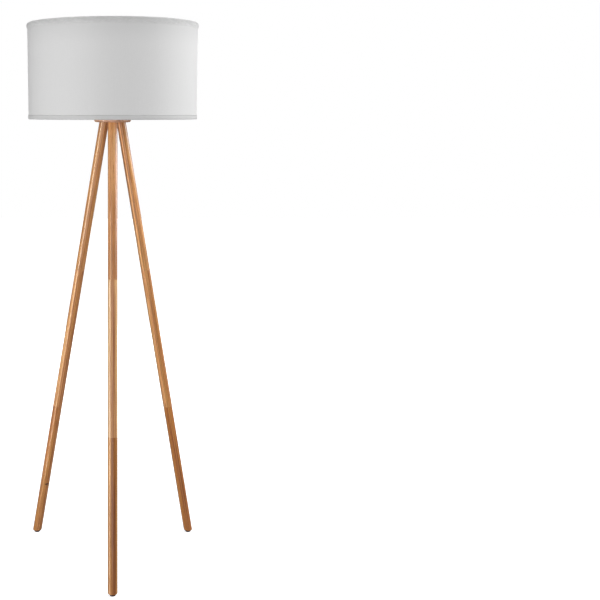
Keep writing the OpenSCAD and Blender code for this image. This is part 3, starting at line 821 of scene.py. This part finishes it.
def hem(name, edge, up, tall, inside_tall, bulge, outer, tones, wobble, pucker, crease_light_and_shade, material, node):
    """A tape folded over the shade's edge and its wire. up is 1 for the top edge and -1 for the bottom one.
    outer lists (share of the tape's height, share of its bulge) from its outside edge to the fold, and
    tones (share of the height, brightness) on the outside. The outside edge strays by wobble, and the
    creases stand out by pucker and get painted light and painted shade by crease_light_and_shade."""
    inner = RING_R - WIRE_R - 0.75 * MM
    path = [(SHADE_R + share * bulge, tall * depth) for depth, share in outer]
    path += rounded([
        path[-1] + (0,), (SHADE_R - 0.9 * MM, 0.12 * MM, 1.6 * MM), (inner + 0.4 * MM, 0.5 * MM, 1.2 * MM),
        (inner, inside_tall * 0.55, 2.5 * MM), (LINER_R - LINER_T + 0.1 * MM, inside_tall, 0),
    ], steps=6, closed=False)[1:]
    path = subdivided(path, 0.8 * MM, closed=False)
    runs = [0.0]
    for (ra, da), (rb, db) in zip(path, path[1:]):
        runs.append(runs[-1] + math.hypot(rb - ra, db - da))
    columns = 900
    rows, tint_and_shade = [], []
    for (r, d), run in zip(path, runs):
        outside = r > SHADE_R - 0.12 * MM
        tone = stepwise(tones, min(1.0, d / tall), 0.97) if outside else 0.97
        # Creases die out towards the tape's two edges
        fade = min(1.0, run / (2.6 * MM)) * min(1.0, max(0.0, (runs[-1] - run) / (2.5 * MM)))
        ring = []
        for i in range(columns):
            a = TAU * i / columns
            round_ = Vector((math.cos(a), math.sin(a), 0))
            a1, a2 = a + run * up * 2.6 / SHADE_R, a - run * up * 2.0 / SHADE_R
            wave = noise.noise(Vector((math.cos(a1) * 15, math.sin(a1) * 15, run * 150)))
            small = noise.noise(Vector((math.cos(a2) * 40, math.sin(a2) * 40, run * 330 + 9)))
            rr = r + pucker * fade * (0.75 * wave + 0.45 * small)
            dd = d
            if outside and d > tall * 0.5:
                stray = noise.noise(round_ * 5.5 + Vector((3, 0, up))) + 0.5 * noise.noise(round_ * 16)
                dd = d + wobble * stray * ((d - tall * 0.5) / (tall * 0.5))
            elif d < 2.5 * MM:
                dd = d + 0.35 * pucker * (wave + small) * fade + 0.15 * MM
            ring.append(Vector((rr * round_.x, rr * round_.y, edge - up * dd)))
            # Painted light and shade along the creases
            tint_and_shade.append((tone * (1 + crease_light_and_shade * fade * (wave + small)),) * 3)
        rows.append(ring)
    verts, faces, corners = grid(rows)
    uvs = [(TAU * SHADE_R * i / columns, runs[j]) for j, i in corners]
    obj = mesh_object(name, verts, faces, uvs, attributes={"tint_and_shade": tint_and_shade})
    finish_mesh(obj, material, "shade", [node], sharp=75)
    thick = obj.modifiers.new("Thickness", "SOLIDIFY")
    thick.thickness = 0.45 * MM
    thick.offset = -1
    return obj


top_tape = hem(
    "top_hem_tape", SHADE_TOP, 1, tall=17 * MM, inside_tall=9.5 * MM, bulge=TOP_BULGE,
    outer=[(1.0, -0.04), (0.94, 0.09), (0.86, 0.20), (0.78, 0.38), (0.70, 0.58), (0.62, 0.76), (0.54, 0.86),
           (0.46, 0.87), (0.38, 0.82), (0.30, 0.73), (0.22, 0.60), (0.14, 0.42), (0.08, 0.22)],
    tones=[(0, 0.97), (0.10, 0.90), (0.17, 0.76), (0.36, 0.77), (0.55, 0.85), (0.75, 0.90), (0.93, 0.91),
           (1.0, 0.95)],
    wobble=1.3 * MM, pucker=0.85 * MM, crease_light_and_shade=0.09, material=hem_fabric, node="top_hem")
# The bottom tape's darkest tones, at its upper edge, are a painted shadow in the groove between tape and
# cloth
bottom_tape = hem(
    "bottom_hem_tape", SHADE_BOTTOM, -1, tall=12 * MM, inside_tall=7.5 * MM, bulge=BOTTOM_BULGE,
    outer=[(1.0, -0.06), (0.985, 0.30), (0.95, 0.42), (0.85, 0.52), (0.70, 0.66), (0.50, 0.76),
           (0.30, 0.70), (0.16, 0.5), (0.09, 0.2)],
    tones=[(0, 0.86), (0.5, 0.84), (0.84, 0.86), (0.90, 0.79), (0.94, 0.62), (1.0, 0.55)],
    wobble=0.9 * MM, pucker=0.20 * MM, crease_light_and_shade=0.02, material=bottom_fabric, node="bottom_hem")

# ------------------------ the shade's carrier
fitter_low, fitter_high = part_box("fitter_ring")
wire_low, wire_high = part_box("bottom_wire_ring")
FITTER_R, FITTER_BORE_R = fitter_high.x, 20 * MM
fitter_z = (fitter_low.z + fitter_high.z) / 2
turned("fitter_ring_plate", rounded([
    (FITTER_BORE_R, fitter_low.z, 0.4 * MM), (FITTER_R, fitter_low.z, 0.4 * MM),
    (FITTER_R, fitter_high.z, 0.4 * MM), (FITTER_BORE_R, fitter_high.z, 0.4 * MM)], steps=4),
    128, paint, "shade", "fitter_ring")


def spoke(azimuth):
    """Rings of points along a straight spoke, which swells into a weld at both ends."""
    a = math.radians(azimuth)
    out = Vector((math.cos(a), math.sin(a), 0))
    start = out * (FITTER_R - 0.3 * MM) + Vector((0, 0, fitter_z - 0.1 * MM))
    end = out * (RING_R - WIRE_R * 0.6) + Vector((0, 0, (wire_low.z + wire_high.z) / 2 + 0.5 * MM))
    along = (end - start).normalized()
    side = along.cross(Vector((0, 0, 1))).normalized()
    up = side.cross(along)
    long_mm = (end - start).length / MM
    weld = (0, 0.4, 0.9, 1.6, 2.4, 3.4, 4.6, 6)
    stops = list(weld) + [6 + k * (long_mm - 12) / 24 for k in range(1, 24)]
    stops += [long_mm - t for t in reversed(weld)]
    rows = []
    for t in stops:
        close = min(t, long_mm - t)
        r = WIRE_R + 0.75 * MM * max(0, 1 - close / 4.6) ** 2
        r += 0.10 * MM * noise.noise(Vector((t * 0.9, azimuth, 0))) * max(0, 1 - close / 5)
        centre = start + along * (t * MM)
        rows.append([centre + side * (r * math.cos(TAU * i / 24)) + up * (r * math.sin(TAU * i / 24))
                     for i in range(24)])
    return rows


spoke_verts, spoke_faces = [], []
for azimuth in (30, 150, 270):
    verts, faces, _ = grid(spoke(azimuth), caps=True)
    spoke_faces += [tuple(k + len(spoke_verts) for k in face) for face in faces]
    spoke_verts += verts
finish_mesh(mesh_object("fitter_spoke_rods", spoke_verts, spoke_faces), paint, "shade",
            ["fitter_spokes"], sharp=60)

# ------------------------ lampholder
cap_low, cap_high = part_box("holder_cap")
_, body_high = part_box("holder_body")
CAP_BORE_R, CAP_IN_R, SLEEVE_R, SLEEVE_IN_R, SHELF_R = 5 * MM, 15 * MM, 19.6 * MM, 17.2 * MM, 13.2 * MM
cap_floor = cap_low.z + 3 * MM
turned("holder_cap_shell", rounded([
    (CAP_BORE_R, cap_low.z, 0), (cap_high.x, cap_low.z, 1.6 * MM), (cap_high.x, cap_high.z, 0.5 * MM),
    (CAP_IN_R, cap_high.z, 0.3 * MM), (CAP_IN_R, cap_floor, 0.6 * MM), (CAP_BORE_R, cap_floor, 0)], steps=6),
    128, holder_plastic, "stand", "holder_cap")

flange_z = cap_high.z
flange_top = flange_z + 3 * MM
holder = rounded([
    (SHELF_R, flange_z - 3 * MM, 0), (CAP_IN_R, flange_z - 3 * MM, 0.2 * MM), (CAP_IN_R, flange_z, 0),
    (body_high.x, flange_z, 0.9 * MM), (body_high.x, flange_top, 0.9 * MM),
    (SLEEVE_R, flange_top, 0.3 * MM)], steps=5, closed=False)[:-1]
holder += column(SLEEVE_R, flange_z + 3.1 * MM, body_high.z - 0.6 * MM, 0.22 * MM)
holder += [
    (SLEEVE_R - 0.2 * MM, body_high.z - 0.15 * MM), (SLEEVE_R - 0.6 * MM, body_high.z),
    (17.6 * MM, body_high.z), (17.25 * MM, body_high.z - 0.3 * MM), (SLEEVE_IN_R, body_high.z - 1 * MM),
    (SLEEVE_IN_R, flange_z + 1.5 * MM), (SHELF_R, flange_z + 1.5 * MM)]
sleeve_thread = thread(2.8 * MM, 0.75 * MM, flange_z + 4 * MM, body_high.z - 1.5 * MM, beyond=19.5 * MM)
turned("holder_body_sleeve", holder, 144, holder_plastic, "stand", "holder_body",
       shape=sleeve_thread, sharp=70)

nut_low, nut_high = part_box("shade_ring_nut")
RING_NUT_R, RING_NUT_IN_R = 27.5 * MM, SLEEVE_R + 0.3 * MM
groove_z = nut_high.z - 0.6 * MM
ring_nut = rounded([
    (RING_NUT_IN_R, nut_low.z, 0.5 * MM), (RING_NUT_R, nut_low.z, 0.7 * MM),
    (RING_NUT_R, nut_high.z, 1.3 * MM), (24.6 * MM, nut_high.z, 0.3 * MM), (24.2 * MM, groove_z, 0.3 * MM),
    (22.2 * MM, groove_z, 0.3 * MM), (21.8 * MM, nut_high.z, 0.3 * MM),
    (RING_NUT_IN_R, nut_high.z, 0.5 * MM)], steps=6)
grip = fluted(16, 1.1 * MM, nut_low.z + 2 * MM, RING_NUT_R)
turned("shade_ring_nut_body", subdivided(ring_nut, 0.7 * MM), 288, holder_plastic, "ring_nut",
       "shade_ring_nut", shape=grip, sharp=60)

# ------------------------ nipple, nuts, washer and cord bush
nip_low, nip_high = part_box("nipple")
NIPPLE_R, NIPPLE_BORE_R = 5 * MM, 3.9 * MM
nipple = [(NIPPLE_BORE_R, nip_low.z), (4.5 * MM, nip_low.z)]
nipple += column(NIPPLE_R, nip_low.z + 0.4 * MM, nip_high.z - 0.4 * MM, 0.14 * MM)
nipple += [(4.5 * MM, nip_high.z), (NIPPLE_BORE_R, nip_high.z)]
nipple_thread = thread(1.0 * MM, 0.35 * MM, nip_low.z + 0.5 * MM, nip_high.z - 0.5 * MM, beyond=4.9 * MM)
turned("nipple_tube", nipple, 64, zinc, "stand", "nipple", shape=nipple_thread, sharp=70)

NUT_APOTHEM, NUT_CORNER_R, NUT_BORE_R = 7 * MM, 8.1 * MM, 5.1 * MM
for name in ("lower_nut", "upper_nut"):
    nut_low, nut_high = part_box(name)
    nut = [(NUT_BORE_R, nut_low.z + 0.3 * MM), (5.5 * MM, nut_low.z)]
    nut += [(NUT_CORNER_R, nut_low.z + (nut_high.z - nut_low.z) * k / 14) for k in range(15)]
    nut += [(5.5 * MM, nut_high.z), (NUT_BORE_R, nut_high.z - 0.3 * MM)]
    turned(name + "_hexagon", nut, 144, zinc, "stand", name,
           shape=hexagonal(NUT_APOTHEM, nut_low.z, nut_high.z), sharp=25)

wash_low, wash_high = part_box("nipple_washer")
turned("nipple_washer_disc", rounded([
    (NUT_BORE_R, wash_low.z, 0.15 * MM), (wash_high.x, wash_low.z, 0.3 * MM),
    (wash_high.x, wash_high.z, 0.1 * MM), (NUT_BORE_R, wash_high.z, 0.1 * MM)], steps=3),
    96, zinc, "stand", "nipple_washer")

bush_low, bush_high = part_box("cord_bush")
BUSH_BORE_R, BUSH_RIM_R = 3 * MM, 5 * MM
rim_z = bush_low.z + 1.4 * MM
turned("cord_bush_moulding", rounded([
    (BUSH_BORE_R, bush_low.z, 0.7 * MM), (BUSH_RIM_R, bush_low.z, 0.6 * MM), (BUSH_RIM_R, rim_z, 0.2 * MM),
    (NIPPLE_BORE_R, rim_z, 0), (NIPPLE_BORE_R, bush_high.z, 0.2 * MM),
    (BUSH_BORE_R, bush_high.z, 0.3 * MM)], steps=6),
    72, black_plastic, "stand", "cord_bush")

# ------------------------ switch knob
knob_low, knob_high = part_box("switch_knob")
knob_len, knob_r = knob_high.x - knob_low.x, knob_high.y
along_x = Matrix.Translation((knob_low.x, 0, (knob_low.z + knob_high.z) / 2))
along_x @= Matrix.Rotation(math.radians(90), 4, "Y")
knob = rounded([
    (AXIS_R, 0, 0), (knob_r - 1.2 * MM, 0, 0.5 * MM), (knob_r, 1.6 * MM, 0.9 * MM),
    (knob_r - 0.2 * MM, knob_len, 1.4 * MM), (4.6 * MM, knob_len, 0.6 * MM),
    (4.0 * MM, knob_len - 0.5 * MM, 0.6 * MM), (AXIS_R, knob_len - 0.6 * MM, 0)], steps=6, closed=False)
grip = fluted(12, 0.8 * MM, 2.6 * MM, knob_r)
turned("switch_knob_grip", subdivided(knob, 0.6 * MM, closed=False), 240, holder_plastic, "switch",
       "switch_knob", closed=False, caps=True, shape=grip, place=along_x, sharp=60)

# ------------------------ bulb
shell_low, shell_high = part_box("bulb_cap")
cap_r = shell_high.x
cap = [(9 * MM, shell_low.z), (10.6 * MM, shell_low.z + 0.2 * MM), (11.8 * MM, shell_low.z + 0.9 * MM)]
cap += column(cap_r, shell_low.z + 1.6 * MM, shell_high.z - 3.4 * MM, 0.26 * MM)
cap += [
    (cap_r, shell_high.z - 2.6 * MM), (cap_r, shell_high.z - 0.1 * MM), (cap_r - 0.4 * MM, shell_high.z),
    (cap_r - 1.5 * MM, shell_high.z), (cap_r - 1.5 * MM, shell_low.z + 2 * MM),
    (9 * MM, shell_low.z + 1 * MM)]
cap_thread = thread(3.62 * MM, 1.05 * MM, shell_low.z + 1 * MM, shell_high.z - 3 * MM, beyond=12.5 * MM)
turned("bulb_cap_thread", cap, 128, nickel, "bulb", "bulb_cap", shape=cap_thread, sharp=75)

tip_low, tip_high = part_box("bulb_tip")
tip = [(AXIS_R, tip_low.z), (1.8 * MM, tip_low.z + 0.08 * MM), (3.2 * MM, tip_low.z + 0.3 * MM),
       (4.2 * MM, tip_low.z + 0.65 * MM), (4.5 * MM, tip_high.z), (AXIS_R, tip_high.z)]
turned("bulb_tip_contact", tip, 48, nickel, "bulb", "bulb_tip", closed=False, caps=True)

house_low, house_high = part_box("bulb_housing")
rim_r, neck_r = house_high.x, cap_r + 1 * MM
neck_z = house_low.z + 2 * MM
housing = [(cap_r - 1 * MM, house_low.z), (cap_r + 0.7 * MM, house_low.z),
           (neck_r, house_low.z + 0.4 * MM), (neck_r, neck_z)]
for k in range(1, 33):
    t = k / 32
    r = neck_r + (rim_r - neck_r) * (t + 0.10 * math.sin(math.pi * t))
    housing.append((min(r, rim_r + 0.6 * MM), neck_z + (house_high.z - neck_z - 0.2 * MM) * t))
housing += [(rim_r - 0.1 * MM, house_high.z), (rim_r - 1.5 * MM, house_high.z), (cap_r - 1 * MM, neck_z)]
turned("bulb_housing_shell", housing, 128, bulb_plastic, "bulb", "bulb_housing", sharp=60)

globe_low, globe_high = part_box("bulb_diffuser")
GLOBE_R, GLOBE_T = globe_high.x, 1.5 * MM
globe_z = globe_high.z - GLOBE_R
begin = math.asin((globe_low.z - globe_z) / GLOBE_R)
angles = [begin + (math.pi / 2 - begin) * k / 48 for k in range(49)]
globe = [(max(GLOBE_R * math.cos(a), AXIS_R), globe_z + GLOBE_R * math.sin(a)) for a in angles]
for a in reversed(angles):
    r = GLOBE_R - GLOBE_T
    globe.append((max(r * math.cos(a), AXIS_R / 2), max(globe_z + r * math.sin(a), globe_low.z)))
turned("bulb_globe", globe, 128, frosted, "bulb", "bulb_diffuser", sharp=60)

# ------------------------ floor
FLOOR_HALF = 9
floor_shader = Shader("Floor", Roughness=0.9, Specular_IOR_Level=0.1, Emission_Color=(1, 1, 1))
floor_at = floor_shader.object_coordinates()
floor_shader.set(floor_shader.bsdf, {
    "Base_Color": floor_shader.ramp(floor_shader.noise(floor_at, 3, 3, 0.5), (0.3, (0.80,) * 3),
                                    (0.7, (0.82,) * 3)),
    "Emission_Strength": floor_shader.mapped(floor_shader.length(floor_at), 0.3, 2.2, 0.72, 1.0),
})
floor = mesh_object("Floor", [(x * FLOOR_HALF, y * FLOOR_HALF, 0)
                              for x, y in ((-1, -1), (1, -1), (1, 1), (-1, 1))], [(0, 1, 2, 3)])
floor.data.materials.append(floor_shader.material)
floor.visible_diffuse = False
floor.visible_glossy = False
